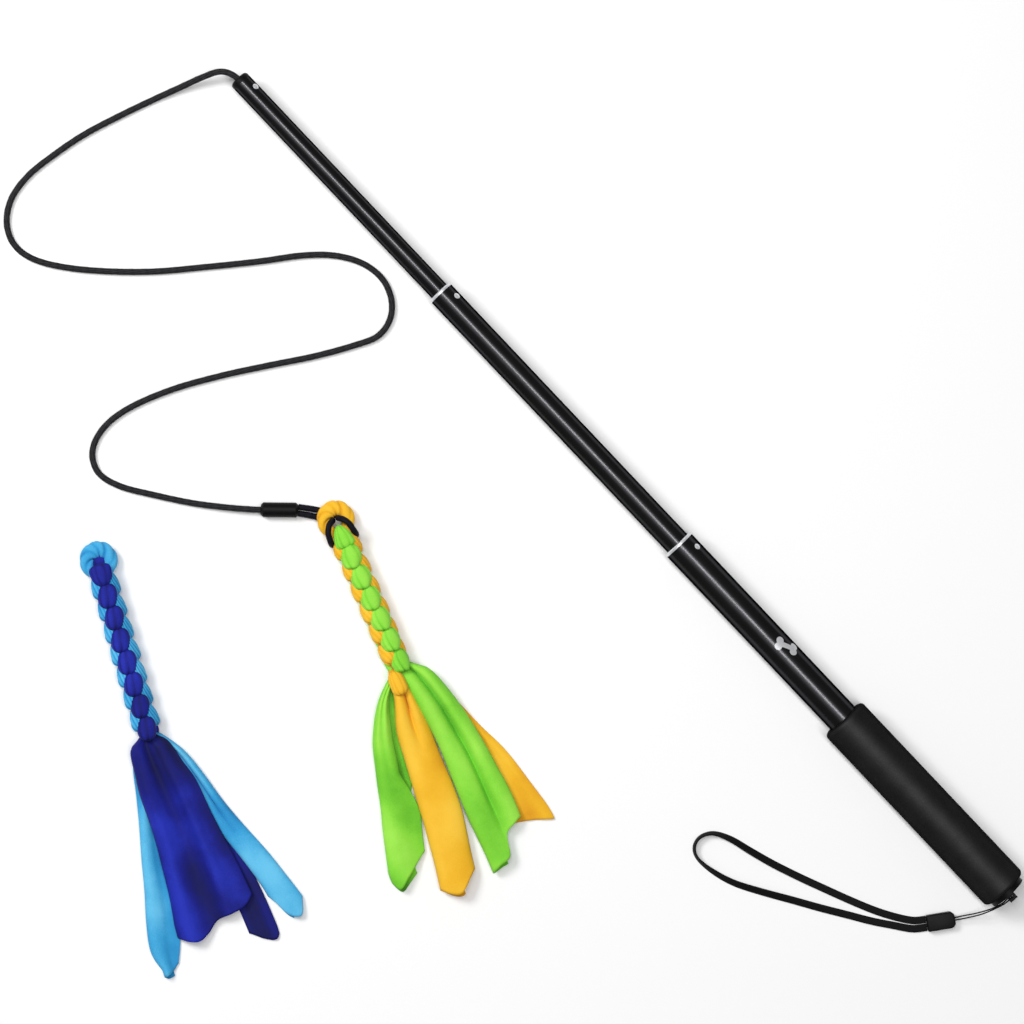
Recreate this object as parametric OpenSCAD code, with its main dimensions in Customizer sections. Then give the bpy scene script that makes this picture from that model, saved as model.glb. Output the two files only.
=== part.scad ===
// Dog flirt pole: a three-section telescopic pole with a foam grip, a wrist strap, a free cord
// and two braided fleece lures, one hitched to the cord and one spare. It lies flat, as on a floor.
// The pole runs along X, from the grip at the origin to the tip, and Z points up.

/* [Handle] */
// Length of the foam grip
grip_l = 188; // [150:1:220]
// Diameter of the foam grip
grip_od = 40; // [34:0.5:48]
// Rounding at the two ends of the grip
grip_round = 3.5; // [2:0.5:9]
// Length of the handle tube from its butt to its mouth
handle_l = 378.5; // [350:0.5:420]
// Outside diameter of the handle tube
handle_od = 27; // [26:0.1:30]
// Wall of the handle tube
handle_wall = 1.2; // [0.8:0.1:1.6]
// Diameter of the butt cap's disc
cap_od = 31; // [28:0.5:36]
// Thickness of the butt cap's disc
cap_t = 4.1; // [3:0.1:8]
// Depth of the butt cap's plug inside the handle tube
cap_plug_l = 28; // [15:1:40]
// Wall of the butt cap's hollow plug
cap_plug_wall = 2.5; // [1.5:0.1:4]

/* [Sections] */
// Length of the middle tube
middle_l = 319; // [300:1:330]
// Outside diameter of the middle tube
middle_od = 21.6; // [20.5:0.1:22.4]
// Wall of the middle tube
middle_wall = 1.1; // [0.8:0.1:1.4]
// Length of the tip tube
tip_l = 274; // [250:1:280]
// Outside diameter of the tip tube
tip_od = 16.4; // [15.5:0.1:17]
// Wall of the tip tube
tip_wall = 1; // [0.7:0.1:1.3]
// Length of a mouth bush
mouth_bush_l = 22; // [15:1:30]
// Length of a tail bush
tail_bush_l = 18; // [12:1:25]
// Height of the lip on a tail bush, under the tube's end
tail_lip = 2; // [1:0.1:3]
// Gap between a tail bush and the mouth bush that stops it
stop_gap = 2; // [1:0.5:5]
// Height of a bright mouth ring along the pole
ring_h = 2.4; // [1.5:0.1:4]
// Length that the tip plug reaches into the tip tube
tip_plug_l = 20; // [14:1:30]
// Height of the tip plug's dome past the tube
tip_dome = 5; // [3:0.1:7]

/* [Rivets] */
// Diameter of a rivet head
rivet_head_d = 5; // [3.5:0.1:6]
// Height of a rivet head over the tube
rivet_head_h = 0.8; // [0.4:0.1:1.2]
// Diameter of a rivet shank
rivet_shank_d = 2.6; // [2:0.1:3.2]
// Distance of a mouth's rivet from the mouth
rivet_back = 10; // [8:0.5:13]
// Turn of the rivets round the pole, from the top
rivet_turn = 45; // [0:5:80]

/* [Cord] */
// Diameter of the cord
cord_d = 5; // [4:0.1:5.2]
// Length of the sleeve that closes the cord's end loop
sleeve_l = 30; // [24:1:36]
// Diameter of that sleeve
sleeve_d = 12; // [11.6:0.1:14]
// Diameter of the stop knot inside the tip tube
knot_d = 11; // [8:0.1:12]

/* [Lures] */
// Diameter of a lure's braid
braid_d = 23; // [20:0.5:25]
// Length of the hitched lure's braid
braid_l = 111; // [95:1:120]
// Length of the spare lure's braid
spare_braid_l = 127; // [110:1:135]
// Distance between a braid's knuckles
knuckle_pitch = 18.4; // [16:0.1:22]
// Depth of the dips between knuckles
knuckle_dip = 2.4; // [1:0.1:3]
// Outside diameter of a lure's head loop
head_od = 31; // [30.5:0.1:34]
// Thickness of the head loop's gathered strip
head_strip_d = 9; // [8:0.1:9.2]
// Diameter of a lure's neck
neck_d = 12; // [10:0.1:12.4]
// Length of a lure's neck
neck_l = 7; // [6.5:0.1:9]
// Length of a lure's tails
tail_l = 165; // [140:1:180]
// Width that the tails' shares are taken of
tail_w = 40; // [34:0.5:42]
// Thickness of the fleece
fleece_t = 2.2; // [1.5:0.1:2.4]
// Height of the tails' main folds
fold_h = 4; // [2:0.1:6]

/* [Wrist strap] */
// Width of the webbing
webbing_w = 6; // [5:0.1:7]
// Thickness of the webbing
webbing_t = 1.6; // [1.2:0.1:2]
// Diameter of the strap's thin strand
strand_d = 1.2; // [0.8:0.1:1.4]
// Length of the ferrule that holds strand and webbing
ferrule_l = 23; // [18:0.5:26]
// Width of the ferrule
ferrule_w = 13.4; // [12.6:0.1:15]
// Height of the ferrule
ferrule_h = 7; // [6:0.1:8]
// Width of the butt cap's lug
lug_w = 7; // [5:0.1:7.4]
// Reach of the lug past the disc
lug_l = 7; // [6:0.1:9]
// Diameter of the strand's hole in the lug
lug_hole_d = 2.4; // [2:0.1:3]

/* [Fits] */
// Running clearance of the sliding sections, on the radius
run_gap = 0.06; // [0.03:0.01:0.1]
// Seating clearance of fixed pieces, on the radius
seat_gap = 0.05; // [0.02:0.01:0.1]
// Clearance kept round soft pieces
soft_gap = 0.4; // [0.2:0.1:0.8]

/* [Hidden] */
$fn = 64;
overrun = 1;

// Places along the pole
butt_x = -grip_l / 2;
handle_mouth_x = butt_x + handle_l;
middle_tail_x = handle_mouth_x - mouth_bush_l - stop_gap - tail_bush_l;
middle_mouth_x = middle_tail_x + middle_l;
tip_tail_x = middle_mouth_x - mouth_bush_l - stop_gap - tail_bush_l;
tip_end_x = tip_tail_x + tip_l;
floor_z = -grip_od / 2;

// Bores of the tubes
handle_id = handle_od - 2 * handle_wall;
middle_id = middle_od - 2 * middle_wall;
tip_id = tip_od - 2 * tip_wall;

// The cord's route, from its stop knot in the tip tube to its sleeve
cord_route = [
    [772, 0, 0], [788, 0, 0], [803, 1, 0], [813, 7, -2], [820, 20, -8], [827, 38, -14], [835, 60, -17.3],
    [844, 88, -17.4], [853, 120, -17.4], [858, 150, -17.4], [860, 176, -17.4], [856, 198, -17.4],
    [845, 214, -17.4], [829, 222, -17.4], [811, 220, -17.4], [790, 208, -17.4], [764, 186, -17.4],
    [735, 156, -17.4], [708, 122, -17.4], [682, 88, -17.4], [662, 60, -17.4], [644, 41, -17.4],
    [624, 29, -17.4], [604, 26, -17.4], [587, 32, -17.4], [576, 44, -17.4], [573, 60, -17.4],
    [580, 78, -17.4], [596, 108, -17.4], [616, 140, -17.4], [636, 173, -17.4], [655, 209, -17.4],
    [668, 244, -17.4], [671, 270, -17.4], [664, 290, -17.4], [648, 299, -17.4], [628, 294, -17.4],
    [604, 279, -17.4], [578, 261, -17.2], [556, 243, -15], [541, 229.4, -14], [535.9, 224.3, -14]
];
cord_steps = 2;
cord_sides = 10;

// The hitched lure's eye, and the way that its braid points
lure_eye = [489, 186];
lure_turn = 160;
// The spare lure's eye, and the way that its braid points
spare_eye = [596, 347];
spare_turn = 153;

// The end loop's two strands, from the sleeve into the lure's eye, as seen from the eye on the floor
near_route = [
    [-16.9, -26.5, 6], [-10.5, -17, 4.4], [-5.5, -10, 3.2], [-2, -5.2, 3], [-0.2, -3, 4.6], [0, -2.7, 8],
    [0, -2.7, 11.9]
];
far_route = [
    [-21.1, -23.5, 6], [-13.6, -11.6, 4.2], [-7.2, -3.2, 3], [-3, 1.4, 3.2], [-0.4, 2.7, 5.2], [0, 2.7, 8],
    [0, 2.7, 11.9]
];
// The end loop's bight, up out of the eye and round the neck
bight_route = [
    [0, -2.7, 12.1], [0, -2.7, 14], [0.6, -3.6, 17], [2.8, -6.4, 19.8], [8, -9.3, 20.6], [14.5, -10.4, 18],
    [17.6, -10.6, 12], [18.4, -9, 6], [18.8, -4.5, 3], [18.8, 0, 2.55]
];
hitch_steps = 2;
hitch_sides = 10;

// The sleeve's axis runs on from the cord's end, towards the eye
sleeve_from = cord_route[len(cord_route) - 1];
sleeve_turn = 226;
sleeve_bevel_share = 0.15;

// The wrist strap's strand, from the ferrule through the lug and back
strand_route = [
    [-87, 45.5, -14], [-92, 37, -11.5], [-97, 27, -7], [-100, 17, -1], [-101.6, 9, 3.6], [-102, 3.6, 5.2],
    [-102, 1, 4.8], [-102, 0, 2.6], [-102, 0, 0], [-102, 0, -2.6], [-102, 1, -4.8], [-102, 3.6, -5.4],
    [-102, 9, -6.4], [-99.6, 18, -8.6], [-94.6, 29, -12.2], [-89, 38.5, -15], [-85.6, 44.5, -16]
];
strand_steps = 2;
strand_sides = 8;

// The ferrule's end at the strand, and the way that it points
ferrule_end = [-86.6, 45];
ferrule_turn = 56;
ferrule_bevel_share = 0.2;

// The webbing's loop on the floor, from the ferrule and back, with its turn on edge at the far end
webbing_route = [
    [-71, 62.4], [-65, 70], [-54, 78], [-38, 87], [-18, 96], [4, 105], [24, 113], [46, 121], [66, 127],
    [84, 132], [97, 139], [102, 149], [99, 158], [90, 162], [74, 160], [56, 154], [36, 143], [14, 129.6],
    [-6, 117.6], [-26, 105], [-42, 95], [-56, 85], [-69, 75.4], [-76.3, 66]
];
webbing_rolls = [
    0, 0, 0, 0, 5, 10, 15, 20, 30, 45, 65, 75, 75, 70, 50, 35, 25, 15, 10, 5, 0, 0, 0, 0
];

// Tails, as rows of place along and across in shares of the length, and half width in shares of the width
lure_left_shares = [
    [0, -0.04, 0.13], [0.1, -0.125, 0.19], [0.25, -0.2, 0.24], [0.4, -0.24, 0.3], [0.55, -0.27, 0.35],
    [0.7, -0.31, 0.39], [0.88, -0.355, 0.38]
];
lure_centre_shares = [
    [0, -0.03, 0.11], [0.1, -0.035, 0.12], [0.25, -0.06, 0.31], [0.4, -0.07, 0.36], [0.55, -0.08, 0.385],
    [0.7, -0.095, 0.39], [0.85, -0.12, 0.39], [1.05, -0.15, 0.39]
];
lure_right_shares = [
    [0, 0.03, 0.11], [0.1, 0.065, 0.2], [0.25, 0.1, 0.32], [0.4, 0.12, 0.4], [0.55, 0.13, 0.445],
    [0.7, 0.135, 0.475], [0.85, 0.135, 0.47], [0.98, 0.13, 0.44]
];
lure_back_shares = [
    [0, 0.045, 0.1], [0.1, 0.09, 0.16], [0.25, 0.16, 0.16], [0.4, 0.2, 0.21], [0.55, 0.23, 0.32],
    [0.7, 0.26, 0.38], [0.85, 0.285, 0.42], [0.92, 0.295, 0.42]
];
spare_left_shares = [
    [0, -0.05, 0.085], [0.1, -0.09, 0.12], [0.25, -0.097, 0.2], [0.4, -0.126, 0.22], [0.55, -0.149, 0.26],
    [0.7, -0.17, 0.3], [0.85, -0.192, 0.34], [1, -0.22, 0.3], [1.1, -0.225, 0.16]
];
spare_front_shares = [
    [0, 0, 0.22], [0.1, 0, 0.42], [0.25, 0.015, 0.58], [0.4, 0.028, 0.62], [0.55, 0.042, 0.68],
    [0.7, 0.05, 0.75], [0.9, 0.055, 0.84]
];
spare_right_shares = [
    [0, 0.05, 0.085], [0.1, 0.1, 0.1], [0.25, 0.158, 0.1], [0.4, 0.215, 0.135], [0.55, 0.273, 0.2],
    [0.7, 0.33, 0.23], [0.85, 0.387, 0.265], [0.94, 0.415, 0.3]
];
spare_back_shares = [
    [0, 0, 0.09], [0.1, 0.02, 0.2], [0.25, 0.06, 0.25], [0.4, 0.1, 0.28], [0.55, 0.135, 0.27],
    [0.7, 0.175, 0.26], [0.85, 0.225, 0.24], [1.05, 0.255, 0.22]
];
// Main folds across a tail, in shares of the fold height
fold_shares = [0.5, 0, 0.15, 0.9, 0.35, 0, 0.55, 0.1, 0.4];
// Growth of the folds along a tail
fold_growth_shares = [[0, 0.1], [0.15, 0.5], [0.35, 1], [0.7, 0.8], [1.2, 0.6]];
// Height of a tail's underside and its thickness along it, by layer, in shares of the fleece's thickness
low_lift_shares = [[0, 1.6], [0.1, 1.2], [0.25, 0.45], [0.4, 0], [1.2, 0]];
low_thick_shares = [[0, 3.2], [0.1, 2.4], [0.25, 1.4], [0.4, 1], [1.2, 1]];
high_lift_shares = [[0, 5.2], [0.1, 3.9], [0.25, 2.1], [0.4, 1.25], [1.2, 1.25]];
high_thick_shares = [[0, 3.4], [0.1, 2.4], [0.25, 1.4], [0.4, 1], [1.2, 1]];
tail_rows = 13;
tail_skew_share = 0.1;
// Folds on the spare's right tail, which runs under its front one
right_folds_share = 0.2;

// Facets round a braid and along a knuckle, and the size of its drawn-in ends
braid_sides = 16;
braid_steps = 4;
braid_end_share = 0.72;
// Bevel of a mouth ring, in shares of its height
ring_bevel_share = 0.33;
// Place of the strand's hole, from the lug's free end, in shares of its reach
lug_hole_share = 0.44;

handle_colour = [0.05, 0.05, 0.055];
foam_colour = [0.08, 0.08, 0.085];
steel_colour = [0.82, 0.83, 0.85];
nylon_colour = [0.2, 0.2, 0.21];
cord_colour = [0.14, 0.14, 0.15];
green_colour = [0.49, 0.87, 0.24];
yellow_colour = [0.96, 0.75, 0.16];
navy_colour = [0.15, 0.12, 0.58];
sky_colour = [0.24, 0.67, 0.88];

// Curves and sweeps
function unit(v) = v / norm(v);
function spline_point(a, b, c, d, t) =
    (2 * b + (c - a) * t + (2 * a - 5 * b + 4 * c - d) * t * t + (3 * b - a - 3 * c + d) * t * t * t) / 2;
function spline(pts, steps) = let (last = len(pts) - 1) [
    for (i = [0 : last - 1], k = [0 : steps - 1])
        spline_point(pts[max(i - 1, 0)], pts[i], pts[i + 1], pts[min(i + 2, last)], k / steps),
    pts[last]
];
function tangent(pts, i) = unit(pts[min(i + 1, len(pts) - 1)] - pts[max(i - 1, 0)]);
function square_off(v, t) = unit(v - (v * t) * t);
// A direction that no run starts along, to carry along a sweep
start_up = [0.3, 0.2, 1];
function carried(pts, before = start_up, i = 0) =
    i == len(pts) ? [] :
    let (here = square_off(before, tangent(pts, i))) concat([here], carried(pts, here, i + 1));

// A closed skin over rings of points, each ring with the same even count, capped with strips
module skin(rings) {
    count = len(rings[0]);
    last = len(rings) - 1;
    points = [for (ring = rings) each ring];
    walls = [
        for (i = [0 : last - 1], j = [0 : count - 1])
            let (a = i * count + j, b = i * count + (j + 1) % count)
            each [[a, b, a + count], [b, b + count, a + count]]
    ];
    strip = [
        for (j = [0 : count / 2 - 2])
            each [[j, j + 1, count - 2 - j], [j, count - 2 - j, count - 1 - j]]
    ];
    first_cap = [for (f = strip) [f[2], f[1], f[0]]];
    last_cap = [for (f = strip) [for (k = f) last * count + k]];
    polyhedron(points = points, faces = [for (f = concat(walls, first_cap, last_cap)) [f[2], f[1], f[0]]]);
}

// A round tube along a list of points
module tube(pts, d, sides) {
    ups = carried(pts);
    skin([
        for (i = [0 : len(pts) - 1])
            let (up = ups[i], side = cross(tangent(pts, i), up))
            [
                for (j = [0 : sides - 1])
                    let (turn = 360 * j / sides)
                    pts[i] + d / 2 * (cos(turn) * side + sin(turn) * up)
            ]
    ]);
}

// A flat band along points on the floor, rolled about its own run
module band(route, rolls, width, thick) {
    corner_share = 0.7;
    outline = [
        [1, -corner_share], [1, corner_share], [corner_share, 1], [-corner_share, 1],
        [-1, corner_share], [-1, -corner_share], [-corner_share, -1], [corner_share, -1]
    ];
    pts = [
        for (i = [0 : len(route) - 1])
            let (rise = abs(sin(rolls[i])) * width / 2 + abs(cos(rolls[i])) * thick / 2)
            [route[i][0], route[i][1], floor_z + rise]
    ];
    skin([
        for (i = [0 : len(pts) - 1])
            let (
                run = tangent(pts, i),
                level = unit(cross([0, 0, 1], run)),
                side = cos(rolls[i]) * level + sin(rolls[i]) * cross(run, level),
                up = cross(run, side)
            )
            [for (p = outline) pts[i] + p[0] * width / 2 * side + p[1] * thick / 2 * up]
    ]);
}

// A solid of revolution along X, its outline in places along and radii
module turned(outline) {
    rotate([0, 90, 0]) rotate_extrude() polygon([for (p = outline) [p[1], p[0]]]);
}

// A plain ring along X
module sleeve(from_x, to_x, od, id) {
    turned([[from_x, id / 2], [to_x, id / 2], [to_x, od / 2], [from_x, od / 2]]);
}

// Turns what follows about the pole, so that Z becomes the rivets' direction
module at_rivet(x) {
    translate([x, 0, 0]) rotate([rivet_turn, 0, 0]) children();
}

module rivet_hole(x, od) {
    at_rivet(x) cylinder(d = rivet_shank_d + 2 * seat_gap, h = od);
}

// A rivet with a domed head on a tube and a shank down to the piece that it pins
module rivet(x, od, shank_l) {
    head_r = (rivet_head_d * rivet_head_d / 4 + rivet_head_h * rivet_head_h) / (2 * rivet_head_h);
    seat_z = od / 2 + seat_gap;
    at_rivet(x) {
        translate([0, 0, seat_z]) intersection() {
            translate([0, 0, rivet_head_h - head_r]) sphere(r = head_r);
            cylinder(d = rivet_head_d, h = rivet_head_h);
        }
        translate([0, 0, seat_z - shank_l]) cylinder(d = rivet_shank_d, h = shank_l + rivet_head_h / 2);
    }
}

module handle_tube() color(handle_colour) difference() {
    sleeve(butt_x, handle_mouth_x, handle_od, handle_id);
    rivet_hole(handle_mouth_x - rivet_back, handle_od);
}

module foam_grip() color(foam_colour) {
    r = grip_od / 2;
    rotate([0, 90, 0]) rotate_extrude() difference() {
        translate([0, butt_x]) union() {
            square([r - grip_round, grip_l]);
            translate([0, grip_round]) square([r, grip_l - 2 * grip_round]);
            for (y = [grip_round, grip_l - grip_round])
                translate([r - grip_round, y]) circle(r = grip_round);
        }
        translate([-overrun, butt_x - overrun])
            square([handle_od / 2 + seat_gap + overrun, grip_l + 2 * overrun]);
    }
}

module butt_cap() color(nylon_colour) {
    plug_od = handle_id - 2 * seat_gap;
    difference() {
        union() {
            sleeve(butt_x - cap_t, butt_x, cap_od, 0);
            sleeve(butt_x - overrun, butt_x + cap_plug_l, plug_od, plug_od - 2 * cap_plug_wall);
            translate([butt_x - cap_t - lug_l, -lug_w / 2, -lug_w / 2])
                cube([lug_l + cap_t / 2, lug_w, lug_w]);
        }
        translate([butt_x - cap_t - lug_l * (1 - lug_hole_share), 0, -lug_w])
            cylinder(d = lug_hole_d, h = 2 * lug_w);
    }
}

// A bush fixed in a tube's mouth, which the next section runs in
module mouth_bush(mouth_x, tube_id, runner_od) {
    difference() {
        sleeve(mouth_x - mouth_bush_l, mouth_x, tube_id - 2 * seat_gap, runner_od + 2 * run_gap);
        rivet_hole(mouth_x - rivet_back, tube_id);
    }
}

// A bush fixed round a section's lower end, which runs in the tube outside it
module tail_bush(tail_x, tube_od, tube_id, runner_id) {
    sleeve(tail_x, tail_x + tail_bush_l, runner_id - 2 * run_gap, tube_od + 2 * seat_gap);
    sleeve(tail_x - tail_lip, tail_x, runner_id - 2 * run_gap, tube_id);
}

// The bright ring that closes a tube's mouth
module mouth_ring(mouth_x, tube_od, runner_od) {
    bevel = ring_h * ring_bevel_share;
    inner = runner_od / 2 + run_gap;
    outer = tube_od / 2;
    turned([
        [mouth_x, inner], [mouth_x + ring_h, inner], [mouth_x + ring_h, outer - bevel],
        [mouth_x + ring_h - bevel, outer], [mouth_x, outer]
    ]);
}

module handle_mouth_bush() color(nylon_colour) mouth_bush(handle_mouth_x, handle_id, middle_od);
module handle_ring() color(steel_colour) mouth_ring(handle_mouth_x, handle_od, middle_od);
module handle_rivet() color(steel_colour)
    rivet(handle_mouth_x - rivet_back, handle_od, (handle_od - middle_od) / 2 - run_gap);

module middle_tube() color(handle_colour) difference() {
    sleeve(middle_tail_x, middle_mouth_x, middle_od, middle_id);
    rivet_hole(middle_mouth_x - rivet_back, middle_od);
}
module middle_tail_bush() color(nylon_colour) tail_bush(middle_tail_x, middle_od, middle_id, handle_id);
module middle_mouth_bush() color(nylon_colour) mouth_bush(middle_mouth_x, middle_id, tip_od);
module middle_ring() color(steel_colour) mouth_ring(middle_mouth_x, middle_od, tip_od);
module middle_rivet() color(steel_colour)
    rivet(middle_mouth_x - rivet_back, middle_od, (middle_od - tip_od) / 2 - run_gap);

module tip_tube() color(handle_colour) difference() {
    sleeve(tip_tail_x, tip_end_x, tip_od, tip_id);
    rivet_hole(tip_end_x - rivet_back, tip_od);
}
module tip_tail_bush() color(nylon_colour) tail_bush(tip_tail_x, tip_od, tip_id, middle_id);

// The plug that closes the tip, with the cord's bore and a domed end
module tip_plug() color(nylon_colour) {
    bore_r = cord_d / 2 + soft_gap;
    plug_r = tip_id / 2 - seat_gap;
    rim_r = (tip_od / 2 - bore_r) / 2;
    difference() {
        translate([tip_end_x, 0, 0]) rotate([0, 90, 0]) rotate_extrude() {
            translate([bore_r, -tip_plug_l]) square([plug_r - bore_r, tip_plug_l]);
            translate([bore_r, 0]) square([2 * rim_r, tip_dome - rim_r]);
            translate([bore_r + rim_r, tip_dome - rim_r]) circle(r = rim_r);
        }
        rivet_hole(tip_end_x - rivet_back, tip_od);
    }
}
module tip_rivet() color(steel_colour)
    rivet(tip_end_x - rivet_back, tip_od, (tip_od - cord_d) / 2 - soft_gap);

// The stop knot, drawn up behind the tip plug
module cord_knot() color(cord_colour)
    translate([tip_end_x - tip_plug_l - soft_gap - knot_d / 2, 0, 0]) sphere(d = knot_d);

module cord() color(cord_colour) tube(spline(cord_route, cord_steps), cord_d, cord_sides);

// Puts what follows at a lure's eye on the floor, its braid along X
module at_lure(eye, turn) {
    translate([eye[0], eye[1], floor_z]) rotate([0, 0, turn]) children();
}

// The sleeve that closes the cord's end loop
module cord_sleeve() color(nylon_colour) {
    bevel = sleeve_d * sleeve_bevel_share;
    translate(sleeve_from) rotate([0, 0, sleeve_turn]) turned([
        [0, 0], [0, sleeve_d / 2 - bevel], [bevel, sleeve_d / 2], [sleeve_l - bevel, sleeve_d / 2],
        [sleeve_l, sleeve_d / 2 - bevel], [sleeve_l, 0]
    ]);
}

module hitch_strands() color(cord_colour) at_lure(lure_eye, lure_turn) {
    tube(spline(near_route, hitch_steps), cord_d, hitch_sides);
    tube(spline(far_route, hitch_steps), cord_d, hitch_sides);
}

module hitch_bight() color(cord_colour) at_lure(lure_eye, lure_turn) {
    near = spline(bight_route, hitch_steps);
    far = [for (i = [len(near) - 2 : -1 : 0]) [near[i][0], -near[i][1], near[i][2]]];
    tube(concat(near, far), cord_d, hitch_sides);
}

// A lure's head: the gathered strip's loop, round the eye
module head_loop() {
    translate([0, 0, braid_d / 2]) rotate_extrude()
        translate([(head_od - head_strip_d) / 2, 0]) circle(d = head_strip_d);
}

// The neck between a head loop and its braid
module neck() {
    translate([head_od / 2 + seat_gap, 0, braid_d / 2]) rotate([0, 90, 0])
        cylinder(d = neck_d, h = neck_l);
}

// The braid: four columns of knuckles, the side ones half a pitch behind
module braid(length) {
    start = head_od / 2 + 2 * seat_gap + neck_l;
    count = round(length / knuckle_pitch) * braid_steps;
    skin([
        for (i = [0 : count])
            let (
                s = i / count,
                from_end = min(i, count - i) / (braid_steps / 2),
                taper = min(1, braid_end_share + (1 - braid_end_share) * from_end),
                wave = cos(360 * i / braid_steps)
            )
            [
                for (j = [0 : braid_sides - 1])
                    let (
                        turn = 360 * j / braid_sides,
                        r = taper * (braid_d / 2 - knuckle_dip / 2 * (1 - wave * cos(2 * turn)))
                    )
                    [start + s * length, r * sin(turn), braid_d / 2 + r * cos(turn)]
            ]
    ]);
}
function tail_start(length) = head_od / 2 + 3 * seat_gap + neck_l + length;

// A fleece tail: a folded sheet over its rows, in the low or the high layer
module tail(rows, high, folds, braid_length) {
    columns = len(fold_shares);
    reach = rows[len(rows) - 1][0];
    lift = high ? high_lift_shares : low_lift_shares;
    thick = high ? high_thick_shares : low_thick_shares;
    centre = [for (r = rows) [r[0], r[1]]];
    half = [for (r = rows) [r[0], r[2]]];
    grid = [
        for (i = [0 : tail_rows - 1])
            let (s = reach * i / (tail_rows - 1))
            [
                for (j = [0 : columns - 1])
                    let (
                        across = 2 * j / (columns - 1) - 1,
                        x = s * tail_l - across * tail_skew_share * tail_l * s * s,
                        y = lookup(s, centre) * tail_l + across * lookup(s, half) * tail_w,
                        z = lookup(s, lift) * fleece_t
                            + folds * fold_h * fold_shares[j] * lookup(s, fold_growth_shares)
                    )
                    [tail_start(braid_length) + x, y, z, lookup(s, thick) * fleece_t]
            ]
    ];
    skin([
        for (row = grid) concat(
            [for (p = row) [p[0], p[1], p[2]]],
            [for (j = [columns - 1 : -1 : 0]) [row[j][0], row[j][1], row[j][2] + row[j][3]]]
        )
    ]);
}

module on_lure() at_lure(lure_eye, lure_turn) children();
module on_spare() at_lure(spare_eye, spare_turn) children();

module lure_head() color(yellow_colour) on_lure() head_loop();
module lure_neck() color(yellow_colour) on_lure() neck();
module lure_braid() color(green_colour) on_lure() braid(braid_l);
module lure_tail_left() color(green_colour) on_lure() tail(lure_left_shares, false, 1, braid_l);
module lure_tail_centre() color(yellow_colour) on_lure() tail(lure_centre_shares, true, 1, braid_l);
module lure_tail_right() color(green_colour) on_lure() tail(lure_right_shares, true, 1, braid_l);
module lure_tail_back() color(yellow_colour) on_lure() tail(lure_back_shares, false, 0, braid_l);

module spare_head() color(sky_colour) on_spare() head_loop();
module spare_neck() color(sky_colour) on_spare() neck();
module spare_braid() color(navy_colour) on_spare() braid(spare_braid_l);
module spare_tail_left() color(sky_colour) on_spare() tail(spare_left_shares, false, 0, spare_braid_l);
module spare_tail_front() color(navy_colour) on_spare() tail(spare_front_shares, true, 1, spare_braid_l);
module spare_tail_right() color(sky_colour) on_spare()
    tail(spare_right_shares, false, right_folds_share, spare_braid_l);
module spare_tail_back() color(navy_colour) on_spare() tail(spare_back_shares, false, 0, spare_braid_l);

module strap_strand() color(cord_colour) tube(spline(strand_route, strand_steps), strand_d, strand_sides);
module strap_ferrule() color(nylon_colour) {
    bevel = ferrule_w * ferrule_bevel_share;
    outline = [[0, ferrule_w / 2 - bevel], [bevel, ferrule_w / 2], [ferrule_l, ferrule_w / 2]];
    translate([ferrule_end[0], ferrule_end[1], floor_z]) rotate([0, 0, ferrule_turn])
        linear_extrude(ferrule_h) polygon(concat(
            outline,
            [for (i = [len(outline) - 1 : -1 : 0]) [outline[i][0], -outline[i][1]]]
        ));
}
module strap_webbing() color(cord_colour) band(webbing_route, webbing_rolls, webbing_w, webbing_t);

handle_tube();
foam_grip();
butt_cap();
handle_mouth_bush();
handle_ring();
handle_rivet();
middle_tube();
middle_tail_bush();
middle_mouth_bush();
middle_ring();
middle_rivet();
tip_tube();
tip_tail_bush();
tip_plug();
tip_rivet();
cord_knot();
cord();
cord_sleeve();
hitch_strands();
hitch_bight();
lure_head();
lure_neck();
lure_braid();
lure_tail_left();
lure_tail_centre();
lure_tail_right();
lure_tail_back();
spare_head();
spare_neck();
spare_braid();
spare_tail_left();
spare_tail_front();
spare_tail_right();
spare_tail_back();
strap_strand();
strap_ferrule();
strap_webbing();
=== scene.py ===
import math
import bmesh
import bpy
import numpy as np
from mathutils import Matrix, Vector, noise


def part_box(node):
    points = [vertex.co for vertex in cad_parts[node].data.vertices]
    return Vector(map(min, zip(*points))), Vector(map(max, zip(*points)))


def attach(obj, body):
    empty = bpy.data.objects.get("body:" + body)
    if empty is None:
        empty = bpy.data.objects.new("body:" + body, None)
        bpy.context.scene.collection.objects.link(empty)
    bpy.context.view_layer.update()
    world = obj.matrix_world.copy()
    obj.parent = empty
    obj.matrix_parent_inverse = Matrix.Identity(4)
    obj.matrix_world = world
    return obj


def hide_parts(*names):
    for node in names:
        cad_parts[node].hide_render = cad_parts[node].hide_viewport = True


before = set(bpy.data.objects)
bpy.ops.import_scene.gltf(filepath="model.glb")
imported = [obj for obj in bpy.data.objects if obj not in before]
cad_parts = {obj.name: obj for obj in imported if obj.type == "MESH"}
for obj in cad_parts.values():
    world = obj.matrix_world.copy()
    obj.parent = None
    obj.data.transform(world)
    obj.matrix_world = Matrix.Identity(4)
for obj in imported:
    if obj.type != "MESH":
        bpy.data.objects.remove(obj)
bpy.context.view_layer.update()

mm = 0.001
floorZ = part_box("foam_grip")[0].z


# Materials

def srgb(red, green, blue):
    def linear(value):
        value /= 255
        return value / 12.92 if value <= 0.04045 else ((value + 0.055) / 1.055) ** 2.4
    return linear(red), linear(green), linear(blue), 1.0


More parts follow.
